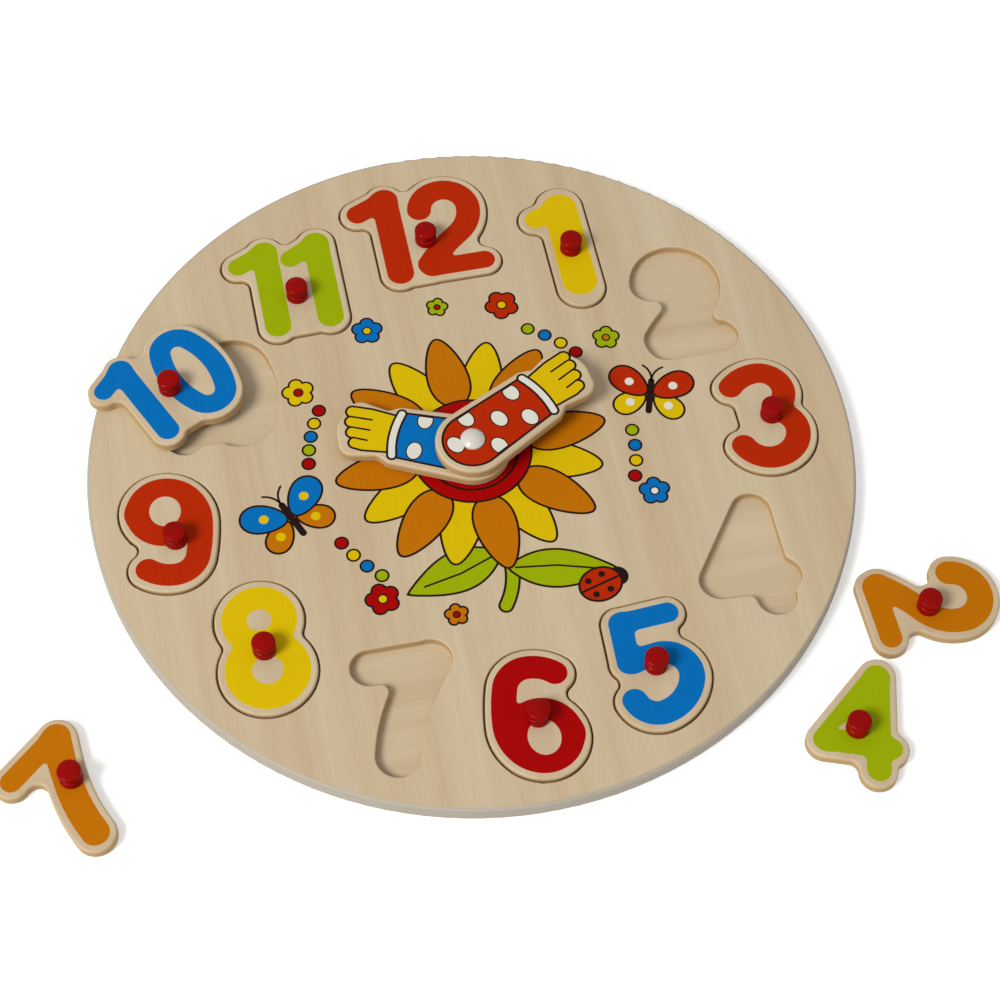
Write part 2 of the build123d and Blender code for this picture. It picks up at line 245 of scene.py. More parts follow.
@dataclass(frozen=True)
class VarnishedPlywood:
    """Basswood plywood under a satin varnish, sanded smooth.

    The faces show pale, nearly straight fibre with broad soft bands. The sawn
    edges show the plies, browned by the blade in the pockets and round the
    pieces, and sanded back to a greyer tone on a board's outer rim.
    """

    name: str
    base_z: float
    thickness: float
    centre: Vector
    turn: float = 0.0
    rim_radius: float = 1.0
    pale: str = "#cdbb9c"
    tan: str = "#bfa785"
    pore: str = "#9c8160"
    sawn: str = "#c2a57b"
    core: str = "#b3946a"
    glue_line: str = "#8f7551"
    sanded: str = "#aeaba2"
    fibre_spacing: float = 0.55 * MM
    pore_spacing: float = 1.3 * MM
    band_spacing: float = 17.0 * MM
    face_roughness: float = 0.46
    edge_roughness: float = 0.68
    specular: float = 0.15

    def face_colour(self, tree: Tree, fibre: Socket) -> Socket:
        """Adds the face veneer's colour: fibre, broad bands and a few short dark pores.

        Args:
            tree: The material's tree.
            fibre: The fine fibre's value.

        Returns:
            The colour.
        """
        broad = wood_fibre(tree, self.centre, self.turn, self.band_spacing)
        pores = wood_fibre(tree, self.centre, self.turn, self.pore_spacing)
        tone = math_node(tree, "MULTIPLY_ADD", fibre, 0.3, math_node(tree, "MULTIPLY", broad, 0.72))
        veneer = mixed(tree, ramp(tree, tone, 0.38, 0.68), self.pale, self.tan)
        return mixed(tree, ramp(tree, pores, 0.66, 0.80, 0.0, 0.16), veneer, self.pore)

    def edge_colour(self, tree: Tree, fibre: Socket) -> Socket:
        """Adds the edge's colour: three plies and two glue lines by height, greyer on the outer rim.

        Args:
            tree: The material's tree.
            fibre: The fine fibre's value.

        Returns:
            The colour.
        """
        level = ramp(tree, z_of(tree, coords_of(tree)), self.base_z, self.base_z + self.thickness)
        plies = add_node(tree, "ShaderNodeValToRGB", {"Fac": level})
        bands = plies.color_ramp.elements
        bands.remove(bands[1])
        bands[0].color = linear(self.sawn)
        for position, colour in ((0.31, self.sawn), (0.335, self.glue_line), (0.36, self.core),
                                 (0.64, self.core), (0.665, self.glue_line), (0.69, self.sawn)):
            bands.new(position).color = linear(colour)
        sawn = mixed(tree, ramp(tree, fibre, 0.3, 0.7, 0.0, 0.4), plies.outputs[0], self.sawn)
        return mixed(tree, math_node(tree, "MULTIPLY", self.outer_rim(tree), 0.8), sawn, self.sanded)

    def outer_rim(self, tree: Tree) -> Socket:
        """Adds a value that is one on the outer rim of a round board, and zero elsewhere."""
        flat = add_node(tree, "ShaderNodeVectorMath", {0: coords_of(tree), 1: (1, 1, 0)}, operation="MULTIPLY")
        return ramp(tree, length_of(tree, flat.outputs[0]), self.rim_radius - 1.6 * MM, self.rim_radius - 0.8 * MM)

    def material(self) -> Material:
        """Builds the plywood's material.

        Returns:
            The material.
        """
        material, tree, shader = shader_tree(f"varnished_basswood_ply_{self.name}")
        fibre = wood_fibre(tree, self.centre, self.turn, self.fibre_spacing)
        upright = math_node(tree, "ABSOLUTE", z_of(tree, add_node(tree, "ShaderNodeTexCoord").outputs["Normal"]))
        inside_rim = math_node(tree, "SUBTRACT", 1.0, self.outer_rim(tree))
        is_face = math_node(tree, "MULTIPLY", ramp(tree, upright, 0.45, 0.8), inside_rim)
        colour = mixed(tree, is_face, self.edge_colour(tree, fibre), self.face_colour(tree, fibre))
        roughness = ramp(tree, is_face, 0.0, 1.0, self.edge_roughness, self.face_roughness)
        feed(tree, shader, {"Base Color": colour, "Roughness": roughness, "Specular IOR Level": self.specular,
                            "Normal": relief(tree, fibre, 0.04, 0.35)})
        return material


@dataclass(frozen=True)
class KnobEnamel:
    """Red enamel on turned beech, dipped: an even gloss with faint lathe rings under it."""

    colour: str = "#980402"
    pooled: str = "#850200"
    ring_spacing: float = 0.5 * MM
    roughness: float = 0.35
    specular: float = 0.03
    coat: float = 0.07
    coat_roughness: float = 0.07

    def material(self) -> Material:
        """Builds the enamel's material.

        Returns:
            The material.
        """
        material, tree, shader = shader_tree("dipped_red_enamel")
        coords = coords_of(tree)
        around = math_node(tree, "MULTIPLY", z_of(tree, coords), 2 * math.pi / self.ring_spacing)
        colour = mixed(tree, noise(tree, coords, 260.0), self.colour, self.pooled)
        feed(tree, shader, {"Base Color": colour, "Normal": relief(tree, math_node(tree, "SINE", around), 0.004, 0.3),
                            "Roughness": self.roughness, "Specular IOR Level": self.specular,
                            "Coat Weight": self.coat, "Coat Roughness": self.coat_roughness})
        return material


@dataclass(frozen=True)
class MouldedPlastic:
    """Injection-moulded plastic: even, slightly soft gloss with faint flow marks."""

    name: str
    colour: str
    roughness: float
    shade: float = 0.94

    def material(self) -> Material:
        """Builds the plastic's material.

        Returns:
            The material.
        """
        material, tree, shader = shader_tree(self.name)
        flow = noise(tree, coords_of(tree), 420.0, 3.0)
        colour = linear(self.colour)
        shade = tuple(c * self.shade for c in colour[:3]) + (1.0,)
        feed(tree, shader, {"Base Color": mixed(tree, flow, colour, shade), "Normal": relief(tree, flow, 0.01, 0.2),
                            "Roughness": self.roughness})
        return material


# ---- flat shapes ----


@dataclass(frozen=True)
class Shape:
    """A flat shape in millimetres: its signed distance, negative inside, and its lowest and highest corner."""

    distance: Callable[[np.ndarray], np.ndarray]
    box: np.ndarray

    def grown(self, amount: float) -> "Shape":
        """The shape grown all round, or shrunk where the amount is negative."""
        return Shape(lambda at: self.distance(at) - amount, self.box + np.array([[-amount], [amount]]))

    def within(self, limit: "Shape", inset: float = 0.0) -> "Shape":
        """The shape cut off at the edge of another, less an inset."""
        return Shape(lambda at: np.maximum(self.distance(at), limit.distance(at) + inset), self.box)

    def without(self, holes: list["Shape"]) -> "Shape":
        """The shape with holes cut out of it."""
        return Shape(lambda at: np.max([self.distance(at), *(-h.distance(at) for h in holes)], axis=0), self.box)


def segment_distance(at: np.ndarray, starts: np.ndarray, ends: np.ndarray) -> np.ndarray:
    """Distance from each point to the nearest of some segments.

    Args:
        at: Points, one a row.
        starts: First ends of the segments.
        ends: Second ends of the segments.

    Returns:
        One distance for each point.
    """
    nearest = np.full(len(at), np.inf)
    for start, end in zip(starts, ends):
        run = end - start
        share = np.clip(((at - start) @ run) / max(run @ run, 1e-12), 0.0, 1.0)
        nearest = np.minimum(nearest, np.hypot(*(at - start - share[:, None] * run).T))
    return nearest


def outline(points: np.ndarray) -> Shape:
    """The shape inside a closed line.

    Args:
        points: Corners of the line in order, in millimetres.

    Returns:
        The shape.
    """
    following = np.roll(points, -1, 0)

    def distance(at: np.ndarray) -> np.ndarray:
        """Signed distance to the line.

        Args:
            at: Points, one a row.

        Returns:
            One distance for each point.
        """
        inside = np.zeros(len(at), bool)
        for (x0, y0), (x1, y1) in zip(points, following):
            if y0 != y1:
                crosses = (y0 > at[:, 1]) != (y1 > at[:, 1])
                inside ^= crosses & (at[:, 0] < (x1 - x0) * (at[:, 1] - y0) / (y1 - y0) + x0)
        return np.where(inside, -1.0, 1.0) * segment_distance(at, points, following)

    return Shape(distance, np.array([points.min(0), points.max(0)]))


def pen_line(points: np.ndarray, half_width: float) -> Shape:
    """A round-ended pen line through its points."""
    line = Shape(lambda at: segment_distance(at, points[:-1], points[1:]), np.array([points.min(0), points.max(0)]))
    return line.grown(half_width)


def joined(shapes: list[Shape]) -> Shape:
    """Several shapes as one."""
    boxes = np.array([shape.box for shape in shapes])
    return Shape(lambda at: np.min([shape.distance(at) for shape in shapes], axis=0),
                 np.array([boxes[:, 0].min(0), boxes[:, 1].max(0)]))


def blended(shapes: list[Shape], reach: float = 2.4) -> Shape:
    """Several shapes as one, with the inner corners where they meet filled softly.

    Args:
        shapes: The shapes.
        reach: How far from a corner the filling starts, in millimetres.

    Returns:
        The blended shape.
    """

    def distance(at: np.ndarray) -> np.ndarray:
        """Signed distance to the blended union.

        Args:
            at: Points, one a row.

        Returns:
            One distance for each point.
        """
        whole = shapes[0].distance(at)
        for shape in shapes[1:]:
            other = shape.distance(at)
            near = np.maximum(reach - np.abs(whole - other), 0) / reach
            whole = np.minimum(whole, other) - near**2 * reach / 4
        return whole

    return Shape(distance, joined(shapes).grown(reach / 4).box)


def placed(points: np.ndarray | list[Spot], at: Spot, turn: float = 0.0, scale: float = 1.0) -> np.ndarray:
    """Scales points, turns them by degrees and moves them to a spot."""
    angle = math.radians(turn)
    spin = np.array([[math.cos(angle), math.sin(angle)], [-math.sin(angle), math.cos(angle)]])
    return (np.asarray(points, float) * scale) @ spin + np.array(at)


def polar(centre: Spot, radius: float, angle: float) -> Spot:
    """The point at a distance from a centre, at an angle in degrees."""
    turn = math.radians(angle)
    return centre[0] + radius * math.cos(turn), centre[1] + radius * math.sin(turn)


def arc(centre: Spot, radius: float, first: float, last: float, steps: int = 6) -> list[Spot]:
    """Points on an arc between two angles in degrees."""
    return [polar(centre, radius, angle) for angle in np.linspace(first, last, steps + 1)]


def oval(at: Spot, half_length: float, half_width: float, turn: float = 0.0, taper: float = 0.0) -> Shape:
    """An oval along its own X, narrower towards its low-X end where it has a taper."""
    t = np.linspace(0, 2 * math.pi, 72, endpoint=False)
    y = half_width * np.sin(t) * (1 + taper * np.cos(t))
    return outline(placed(np.stack([half_length * np.cos(t), y], 1), at, turn))


def disc(at: Spot, radius: float) -> Shape:
    """A round spot."""
    return oval(at, radius, radius)


def pen_points(points: list[Spot], heading: float | None) -> np.ndarray:
    """Follows a pen stroke: straight through its points, or along tangent arcs from a heading in degrees.

    Args:
        points: The stroke's own points.
        heading: The direction of travel at the first point, or None for straight runs.

    Returns:
        Points close enough together to draw the arcs smoothly.
    """
    if heading is None:
        return np.array(points, float)
    travel = math.radians(heading)
    line = [np.array(points[0], float)]
    for end in points[1:]:
        start = line[-1]
        chord = np.array(end) - start
        bend = math.remainder(math.atan2(chord[1], chord[0]) - travel, 2 * math.pi)
        if abs(bend) < 1e-3:
            line.append(start + chord)
            continue
        radius = np.hypot(*chord) / (2 * math.sin(bend))
        centre = start + radius * np.array([-math.sin(travel), math.cos(travel)])
        steps = max(2, math.ceil(abs(2 * bend) / math.radians(5)))
        for step in range(1, steps + 1):
            angle = travel + 2 * bend * step / steps
            line.append(centre + radius * np.array([math.sin(angle), -math.cos(angle)]))
        travel += 2 * bend
    return np.array(line)


def hull(discs: list[Triple]) -> Shape:
    """The convex shape round some discs.

    Args:
        discs: The x, y and radius of each disc, in millimetres.

    Returns:
        The shape.
    """
    t = np.linspace(0, 2 * math.pi, 96, endpoint=False)
    cloud = np.concatenate([np.stack([x + r * np.cos(t), y + r * np.sin(t)], 1) for x, y, r in discs])
    cloud = cloud[np.lexsort((cloud[:, 1], cloud[:, 0]))]
    chains = []
    for ordered in (cloud, cloud[::-1]):
        chain: list[np.ndarray] = []
        for point in ordered:
            while len(chain) > 1 and np.cross(chain[-1] - chain[-2], point - chain[-2]) <= 0:
                chain.pop()
            chain.append(point)
        chains += chain[:-1]
    return outline(np.array(chains))


# ---- from shapes to thin films of ink ----

# Cell corners in order round the cell, and the cell edges that each pattern of inside corners links.
CELL_LINKS = {1: [(3, 0)], 2: [(0, 1)], 3: [(3, 1)], 4: [(1, 2)], 5: [(3, 0), (1, 2)], 6: [(0, 2)], 7: [(3, 2)],
              8: [(2, 3)], 9: [(2, 0)], 10: [(0, 1), (2, 3)], 11: [(2, 1)], 12: [(1, 3)], 13: [(1, 0)], 14: [(0, 3)]}


def thinned(loop: np.ndarray, tolerance: float) -> np.ndarray:
    """Drops the points of a loop that lie on a straight run, within a tolerance.

    Args:
        loop: Points round the loop.
        tolerance: How far the outline may move, in millimetres.

    Returns:
        The points that are kept.
    """
    keep = np.zeros(len(loop), bool)
    half = len(loop) // 2
    stack = [(0, half), (half, len(loop))]
    closed = np.vstack([loop, loop[:1]])
    while stack:
        first, last = stack.pop()
        keep[first] = True
        if last - first < 2:
            continue
        run = closed[last] - closed[first]
        offsets = closed[first + 1 : last] - closed[first]
        length = np.hypot(*run)
        away = np.abs(np.cross(run, offsets)) / length if length > 1e-9 else np.hypot(*offsets.T)
        if away.max() > tolerance:
            middle = first + 1 + int(away.argmax())
            stack += [(first, middle), (middle, last)]
    return loop[keep]


def edge_loops(shape: Shape, step: float = 0.3, tolerance: float = 0.006) -> list[np.ndarray]:
    """Traces the edges of a shape on a grid.

    Args:
        shape: The shape.
        step: The grid's spacing in millimetres.
        tolerance: How far thinning may move the outline, in millimetres.

    Returns:
        One closed loop of points for each edge, holes included.
    """
    low, high = shape.box
    xs, ys = (np.arange(low[k] - 2 * step, high[k] + 3 * step, step) for k in (0, 1))
    grid = np.stack(np.meshgrid(xs, ys), -1)
    value = shape.distance(grid.reshape(-1, 2)).reshape(len(ys), len(xs))
    value[value == 0] = 1e-9
    inside = value < 0
    pattern = inside[:-1, :-1] + 2 * inside[:-1, 1:] + 4 * inside[1:, 1:] + 8 * inside[1:, :-1]
    following: dict[tuple, list[tuple]] = {}
    for row, column in np.argwhere((pattern > 0) & (pattern < 15)):
        sides = [(0, row, column), (1, row, column + 1), (0, row + 1, column), (1, row, column)]
        for near, far in CELL_LINKS[int(pattern[row, column])]:
            following.setdefault(sides[near], []).append(sides[far])
            following.setdefault(sides[far], []).append(sides[near])
    loops = []
    while following:
        here = next(iter(following))
        loop = []
        while here in following:
            ends = following.pop(here)
            kind, row, column = here
            other = (row, column + 1) if kind == 0 else (row + 1, column)
            v0, v1 = value[row, column], value[other]
            loop.append(grid[row, column] + (grid[other] - grid[row, column]) * v0 / (v0 - v1))
            here = ends[0] if ends[0] in following else ends[1]
        if len(loop) > 5:
            loops.append(thinned(np.array(loop), tolerance))
    return loops


def add_object(name: str, data: bpy.types.ID) -> Object:
    """Adds an object with its data to the scene."""
    thing = bpy.data.objects.new(name, data)
    bpy.context.scene.collection.objects.link(thing)
    return thing


def plain_mesh(holder: Object) -> Mesh:
    """Turns an object into the mesh it evaluates to, and removes the object."""
    mesh = bpy.data.meshes.new_from_object(holder.evaluated_get(bpy.context.evaluated_depsgraph_get()))
    bpy.data.objects.remove(holder)
    return mesh


def piece_from(name: str, meshes: list[Mesh], material: Material, body: str) -> Object:
    """Joins meshes into one finished piece that rides on a body.

    Args:
        name: The piece's name.
        meshes: Its meshes, in place.
        material: Its finish.
        body: The body that carries it.

    Returns:
        The piece.
    """
    shell = bmesh.new()
    for mesh in meshes:
        shell.from_mesh(mesh)
    data = bpy.data.meshes.new(name)
    shell.to_mesh(data)
    shell.free()
    for mesh in meshes:
        bpy.data.meshes.remove(mesh)
    data.materials.clear()
    data.materials.append(material)
    piece = add_object(name, data)
    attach(piece, body)
    LOG.info("%s: %d faces on %s", name, len(data.polygons), body)
    return piece


@dataclass
class PrintedArea:
    """Prints that share a surface and a body: films of ink in a few layers."""

    name: str
    body: str
    surface: float
    place: Matrix = field(default_factory=Matrix)
    layer_step: float = 0.008 * MM
    bury: float = 0.03 * MM
    weld: float = 1e-4
    films: dict[Ink, list[Mesh]] = field(default_factory=dict)

    def lay(self, shape: Shape, ink: Ink, layer: int) -> None:
        """Lays one film of ink: a thin closed mesh in the outline of a shape.

        Args:
            shape: Its outline in millimetres.
            ink: Its colour.
            layer: Its place in the stack, from 1 upwards.
        """
        top = self.surface + layer * self.layer_step
        thickness = layer * self.layer_step + self.bury
        curve = bpy.data.curves.new(f"{self.name}_film", "CURVE")
        curve.dimensions = "2D"
        curve.fill_mode = "BOTH"
        curve.extrude = thickness / MM / 2
        for loop in edge_loops(shape):
            spline = curve.splines.new("POLY")
            spline.points.add(len(loop) - 1)
            spline.points.foreach_set("co", np.pad(loop, ((0, 0), (0, 2))).astype("f").ravel())
            spline.use_cyclic_u = True
        mesh = plain_mesh(add_object(curve.name, curve))
        bpy.data.curves.remove(curve)
        shell = bmesh.new()
        shell.from_mesh(mesh)
        bmesh.ops.remove_doubles(shell, verts=shell.verts, dist=self.weld)
        bmesh.ops.recalc_face_normals(shell, faces=shell.faces)
        shell.transform(Matrix.Translation((0, 0, top - thickness / 2)) @ self.place @ Matrix.Scale(MM, 4))
        shell.to_mesh(mesh)
        shell.free()
        self.films.setdefault(ink, []).append(mesh)

    def lay_outlined(self, shape: Shape, ink: Ink, layer: int, line: float = 0.9) -> None:
        """Lays a black line, of a width in millimetres, round the edge of a shape, and its colour inside."""
        self.lay(shape.grown(line / 2), Ink.BLACK, layer)
        self.lay(shape.grown(-line / 2), ink, layer + 1)

    def finish(self) -> None:
        """Makes one piece for each ink."""
        for ink, meshes in self.films.items():
            piece_from(f"{self.name}_{ink.name.lower()}_ink", meshes, ScreenInk(ink).material(), self.body)


# ---- number pieces ----


@dataclass(frozen=True)
class Stroke:
    """A pen stroke of a digit: straight through its points, or tangent arcs from a heading."""

    half_width: float
    points: list[Spot]
    heading: float | None = None

    def shape(self) -> Shape:
        """The stroke as a shape."""
        return pen_line(pen_points(self.points, self.heading), self.half_width)


def one(x: float, stem: float, foot: float, head: float, flag: float, flag_y: float, half: float) -> list[Stroke]:
    """A stem with a flag that falls away to the left of its head."""
    return [Stroke(stem, [(x, foot), (x, head)]), Stroke(half, [(x - flag, flag_y), (x, head)])]


def two(x: float) -> list[Stroke]:
    """A bowl, a long diagonal and a foot."""
    bowl = [(x - 10.2, 11.2), (x - 0.1, 20.0), (x + 10.1, 9.8), (x + 3.2, -3.5), (x - 10.9, -16.8)]
    return [Stroke(5.0, bowl, 82), Stroke(4.3, [(x - 9.9, -18.8), (x + 11.5, -18.8)])]


def zero(x: float, half_width: float = 7.15, half_height: float = 19.9, shoulder: float = 15.22) -> list[Stroke]:
    """An upright oval of tangent arcs."""
    around = [(x, half_height), (x - half_width, shoulder), (x - half_width, -shoulder), (x, -half_height),
              (x + half_width, -shoulder), (x + half_width, shoulder), (x, half_height)]
    return [Stroke(4.7, around, 180)]


def ring(x: float, y: float, radius: float, half_width: float) -> Stroke:
    """A round ring."""
    around = [(x, y + radius), (x - radius, y), (x, y - radius), (x + radius, y), (x, y + radius)]
    return Stroke(half_width, around, 180)


def shrunk(strokes: list[Stroke], share: float) -> list[Stroke]:
    """The strokes at a share of their size."""
    return [Stroke(s.half_width * share, [(x * share, y * share) for x, y in s.points], s.heading) for s in strokes]


# The digits that stand alone. The nine is the six turned upside down.
DIGITS = {
    3: [Stroke(4.7, [(-11.2, 15.9), (-0.5, 20.6), (9.2, 12.2), (5.2, 4.1)], 45),
        Stroke(4.9, [(3.3, 1.5), (10.0, -8.5), (-1.5, -18.9), (-12.8, -11.5)], -14.7)],
    4: [Stroke(4.3, [(8.0, 18.9), (-11.5, -8.4)]),
        Stroke(4.5, [(8.3, 17.2), (8.3, -19.3)]),
        Stroke(4.2, [(-9.5, -8.9), (12.9, -10.6)])],
    5: [Stroke(4.2, [(-8.8, 18.7), (7.6, 19.7)]),
        Stroke(4.5, [(-11.0, 18.4), (-11.6, 1.8)]),
        Stroke(4.8, [(-8.6, 2.4), (0.0, 3.6), (10.0, -8.6), (-2.2, -20.0), (-12.9, -13.6)], 10)],
    6: [Stroke(4.7, [(9.6, 15.5), (-0.8, 19.6), (-9.9, 13.0), (-12.9, -2.0), (-9.6, -13.6), (-1.2, -18.6),
                     (10.2, -9.4)], 137),
        Stroke(4.7, [(10.2, -9.4), (0.0, 2.0), (-9.5, -5.0)], 85.6),
        ring(0.25, -9.15, 9.6, 3.2)],
    7: [Stroke(4.1, [(-11.0, 18.7), (12.2, 18.5)]), Stroke(5.2, [(11.6, 17.6), (0.0, 0.0), (-7.0, -18.3)], -128)],
    8: [ring(-1, 12.9, 9.4, 4.8), ring(-1, -8.2, 10.9, 5.1)],
}
DIGITS[9] = [Stroke(s.half_width, [(-2.15 - x, 1.9 - y) for x, y in s.points], s.heading + 180) for s in DIGITS[6]]


@dataclass(frozen=True)
class NumberPrint:
    """One number piece: its digits, its ink and where it lies, in millimetres and degrees."""

    number: int
    digits: list[list[Stroke]]
    ink: Ink
    clock_angle: float
    distance: float
    knob: Spot
    base_z: float = 4.0
    turn: float = 0.0
    holes: list[Shape] = field(default_factory=list)
    thickness: float = 5.0

    def place(self) -> Matrix:
        """Where the piece lies, in metres."""
        angle = math.radians(90 - self.clock_angle)
        spot = Vector((math.cos(angle), math.sin(angle), 0)) * self.distance * MM
        return Matrix.Translation(spot) @ Matrix.Rotation(math.radians(self.turn), 4, "Z")

    def build(self) -> None:
        """Dresses the wooden piece, prints its digits and stands its knob."""
        node, body, place = f"number_{self.number}", f"piece_{self.number}", self.place()
        shift = Vector((0.037 * self.number, 0.021 * self.number, 0))
        wood = VarnishedPlywood(node, self.base_z * MM, self.thickness * MM, place.translation + shift,
                                math.radians(self.turn))
        dress(node, wood.material())
        area = PrintedArea(node, body, (self.base_z + self.thickness) * MM, place)
        digits = joined([blended([stroke.shape() for stroke in digit]) for digit in self.digits])
        area.lay(digits.without(self.holes), self.ink, 1)
        area.finish()
        foot = place @ Vector((self.knob[0] * MM, self.knob[1] * MM, 0))
        foot.z = (self.base_z + self.thickness) * MM
        TurnedKnob(f"red_knob_{self.number}", f"knob_{self.number}", body, foot).build()


NUMBERS = [
    NumberPrint(1, [one(2.75, 7.2, -17.8, 19.9, 11.2, 16.1, 4.4)], Ink.YELLOW, 32.1, 107.4, (2.6, -1.5)),
    NumberPrint(2, [two(0)], Ink.ORANGE, 121.6, 184.3, (2.0, -1.0), 0.0, -89.0),
    NumberPrint(3, [DIGITS[3]], Ink.RED_ORANGE, 92.9, 118.2, (1.3, 0.3)),
    NumberPrint(4, [DIGITS[4]], Ink.LIME, 140.2, 180.6, (0.5, -3.3), 0.0, -15.6,
                [hull([(-5.9, -3.6, 0.5), (2.6, -3.6, 0.9), (2.6, 3.2, 0.9)])]),
    NumberPrint(5, [DIGITS[5]], Ink.BLUE, 154.1, 114.5, (-2.0, -1.0)),
    NumberPrint(6, [DIGITS[6]], Ink.RED, 179.5, 115.0, (-0.4, -1.0), holes=[oval((0.25, -9.15), 7.15, 6.15, 90)]),
    NumberPrint(7, [DIGITS[7]], Ink.ORANGE, 237.5, 201.5, (3.2, 2.5), 0.0, 41.0),
    NumberPrint(8, [DIGITS[8]], Ink.YELLOW, 233.1, 115.0, (-1.0, 0.0)),
    NumberPrint(9, [DIGITS[9]], Ink.RED_ORANGE, 263.8, 119.7, (0.3, -3.0), holes=[oval((-2.0, 10.6), 6.6, 6.05, 90)]),
    NumberPrint(10, [shrunk(one(-13.5, 5.0, -19.2, 19.0, 11.6, 14.0, 4.3), 0.9), shrunk(zero(12.0), 0.9)], Ink.BLUE,
                295.3, 123.1, (-0.9, -1.7), 8.0, 25.4),
    NumberPrint(11, [one(-6.6, 5.3, -19.1, 18.0, 11.4, 12.9, 4.2), one(15.0, 5.3, -18.4, 18.8, 11.4, 13.0, 4.2)],
                Ink.LIME, 328.3, 110.5, (3.3, -6.0)),
    NumberPrint(12, [one(-12.3, 5.5, -18.9, 19.1, 12.1, 14.0, 4.6), two(11.3)], Ink.RED_ORANGE, 0.5, 110.0,
                (0.9, -4.5)),
]


def dress(node: str, material: Material) -> None:
    """Gives a solid of the frame its finish.

    Args:
        node: The solid's node.
        material: The finish.
    """
    mesh = NODES[node].data
    mesh.materials.clear()
    mesh.materials.append(material)
    LOG.info("%s: %s", node, material.name)


def turned(name: str, profile: list[Spot], foot: Vector, sides: int = 64, crease: float = 35.0) -> Mesh:
    """Turns a profile of radius and height round the Z axis through a foot.

    Args:
        name: The mesh's name.
        profile: Radius and height pairs in millimetres, from the axis at the bottom to the axis at the top.
        foot: Where the turned piece stands, in metres.
        sides: Facets in a full turn.
        crease: Edges that bend by more than this stay sharp, in degrees.

    Returns:
        A closed, smooth mesh in place.
    """
    shell = bmesh.new()
    points = [shell.verts.new((radius * MM, 0, height * MM)) for radius, height in profile]
    edges = [shell.edges.new(pair) for pair in zip(points, points[1:])]
    bmesh.ops.spin(shell, geom=points + edges, axis=(0, 0, 1), cent=(0, 0, 0), angle=2 * math.pi, steps=sides)
    bmesh.ops.remove_doubles(shell, verts=shell.verts, dist=1e-6)
    bmesh.ops.recalc_face_normals(shell, faces=shell.faces)
    for face in shell.faces:
        face.smooth = True
    for edge in shell.edges:
        edge.smooth = edge.calc_face_angle(0.0) < math.radians(crease)
    shell.transform(Matrix.Translation(foot))
    mesh = bpy.data.meshes.new(name)
    shell.to_mesh(mesh)
    shell.free()
    return mesh


@dataclass
class TurnedKnob:
    """A knob turned in one piece: a thick rounded flange, a groove and a slightly domed cap."""

    name: str
    node: str
    body: str
    foot: Vector
    flange_radius: float = 4.4
    flange_thickness: float = 3.4
    waist_radius: float = 3.8
    cap_radius: float = 4.5
    cap_thickness: float = 3.6
    height: float = 8.0
    dome_rise: float = 0.5
    edge_round: float = 1.0
    foot_chamfer: float = 0.3
    stem_radius: float = 1.5
    stem_length: float = 3.4

    def build(self) -> None:
        """Makes the knob in the place of its plain solid."""
        edge, cut, cap_z = self.edge_round, self.foot_chamfer, self.height - self.cap_thickness
        shoulder = self.height - self.dome_rise
        profile = [(0, -self.stem_length), (self.stem_radius, -self.stem_length), (self.stem_radius, 0.0),
                   (self.flange_radius - cut, 0.0), (self.flange_radius, cut)]
        profile += arc((self.flange_radius - edge, self.flange_thickness - edge), edge, 0, 90)
        profile += [(self.waist_radius, self.flange_thickness), (self.waist_radius, cap_z)]
        profile += arc((self.cap_radius - edge, cap_z + edge), edge, -90, 0)
        profile += arc((self.cap_radius - edge, shoulder - edge), edge, 0, 85)
        inner = self.cap_radius - edge
        for share in (0.85, 0.7, 0.5, 0.3, 0.15, 0.0):
            profile.append((inner * share, self.height - self.dome_rise * share**2 * 0.95))
        piece = piece_from(self.name, [turned(self.name, profile, self.foot)], KNOB_FINISH, self.body)
        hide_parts(self.node)


KNOB_FINISH = KnobEnamel().material()


# ---- hands ----


